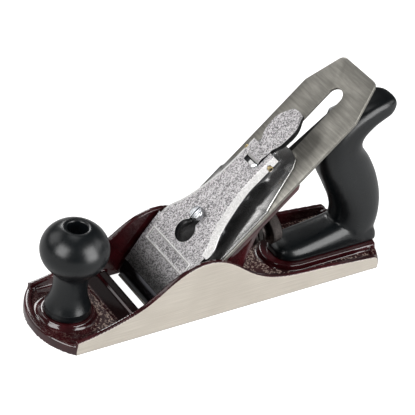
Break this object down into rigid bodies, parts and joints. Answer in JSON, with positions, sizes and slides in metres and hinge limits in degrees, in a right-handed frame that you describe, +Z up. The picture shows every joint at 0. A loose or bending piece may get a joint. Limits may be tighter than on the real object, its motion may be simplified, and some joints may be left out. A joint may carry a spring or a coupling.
{
  "type": "bench smoothing plane",
  "caption": "Bench smoothing plane: cast body with front knob and rear tote, and an adjustable cutter, cap iron and cam-locked lever cap on a frog.",
  "frame": {"origin": "centre of the sole's flat underside", "axes": "+X forward to the toe, +Y to the left cheek, +Z up from the sole"},
  "size_m": [0.2423, 0.06, 0.1328],
  "materials": {
    "enamelled_iron": "glossy maroon enamel, with ground bare iron on the sole and cheeks",
    "blade_steel": "fine ground",
    "cap_iron_steel": "polished",
    "lever_cap_metal": "bright, fine cast speckle",
    "plated_steel": "plated",
    "wheel_metal": "knurled and turned",
    "dark_steel": "as cast and oiled",
    "black_lever": "black, satin",
    "black_plastic": "satin gloss"
  },
  "bodies": {
    "base": {"base_casting": "enamelled_iron", "frog_screws": "dark_steel", "frog_washers": "dark_steel", "tote": "black_plastic", "tote_bolt": "plated_steel", "tote_nut": "plated_steel", "knob": "black_plastic", "knob_bolt": "plated_steel", "knob_nut": "plated_steel"},
    "frog": {"frog": "enamelled_iron", "lever_cap_screw": "plated_steel", "adjuster_stud": "dark_steel", "yoke_pin": "plated_steel", "lateral_rivet": "plated_steel"},
    "lever_cap": {"lever_cap": "lever_cap_metal", "lever_cap_spring": "plated_steel", "spring_rivet": "plated_steel", "cam_pin": "plated_steel"},
    "cam_lever": {"cam_lever": "lever_cap_metal"},
    "irons_carrier": {"cap_iron_screw": "dark_steel"},
    "irons": {"cutter": "blade_steel", "cap_iron": "cap_iron_steel"},
    "yoke": {"yoke": "dark_steel"},
    "wheel_hub": {"wheel_hub": "wheel_metal"},
    "depth_wheel": {"depth_wheel": "wheel_metal"},
    "lateral": {"lateral_lever": "black_lever", "lateral_roller": "plated_steel"}
  },
  "joints": [
    {"name": "frog_slide", "type": "slide", "parent": "base", "child": "frog", "axis": [1, 0, 0], "range_m": [-0.001, 0.001]},
    {"name": "wheel_spin", "type": "hinge", "parent": "wheel_hub", "child": "depth_wheel", "pos_m": [-0.0303, 0, 0.0296], "axis": [0.9659, 0, -0.2588], "range_deg": [-690, 445]},
    {"name": "hub_slide", "type": "slide", "parent": "frog", "child": "wheel_hub", "axis": [-0.9659, 0, 0.2588], "range_m": [-0.0021, 0.0014]},
    {"name": "depth_slide", "type": "slide", "parent": "frog", "child": "irons_carrier", "axis": [0.7071, 0, -0.7071], "range_m": [-0.0014, 0.0009]},
    {"name": "yoke_rock", "type": "hinge", "parent": "frog", "child": "yoke", "pos_m": [-0.02461, 0, 0.05085], "axis": [0, 1, 0], "range_deg": [-5.4, 3.6]},
    {"name": "skew", "type": "hinge", "parent": "irons_carrier", "child": "irons", "pos_m": [-0.00653, 0, 0.05303], "axis": [0.7071, 0, 0.7071], "range_deg": [-0.8, 0.8]},
    {"name": "lateral_swing", "type": "hinge", "parent": "frog", "child": "lateral", "pos_m": [-0.03164, 0, 0.07813], "axis": [0.7071, 0, 0.7071], "range_deg": [-3.4, 3.4]},
    {"name": "cap_slide", "type": "slide", "parent": "frog", "child": "lever_cap", "axis": [-0.7071, 0, 0.7071], "range_m": [0, 0.0123]},
    {"name": "cam_hinge", "type": "hinge", "parent": "lever_cap", "child": "cam_lever", "pos_m": [-0.02315, 0, 0.08521], "axis": [0, 1, 0], "range_deg": [0, 95]}
  ],
  "couplings": [
    {"joint": "hub_slide", "follows": "depth_slide", "ratio": 1.4359},
    {"joint": "wheel_spin", "follows": "depth_slide", "rad_per_m": 8526.6},
    {"joint": "yoke_rock", "follows": "depth_slide", "rad_per_m": 65.262},
    {"joint": "lateral_swing", "follows": "skew", "ratio": -4.2206}
  ]
}
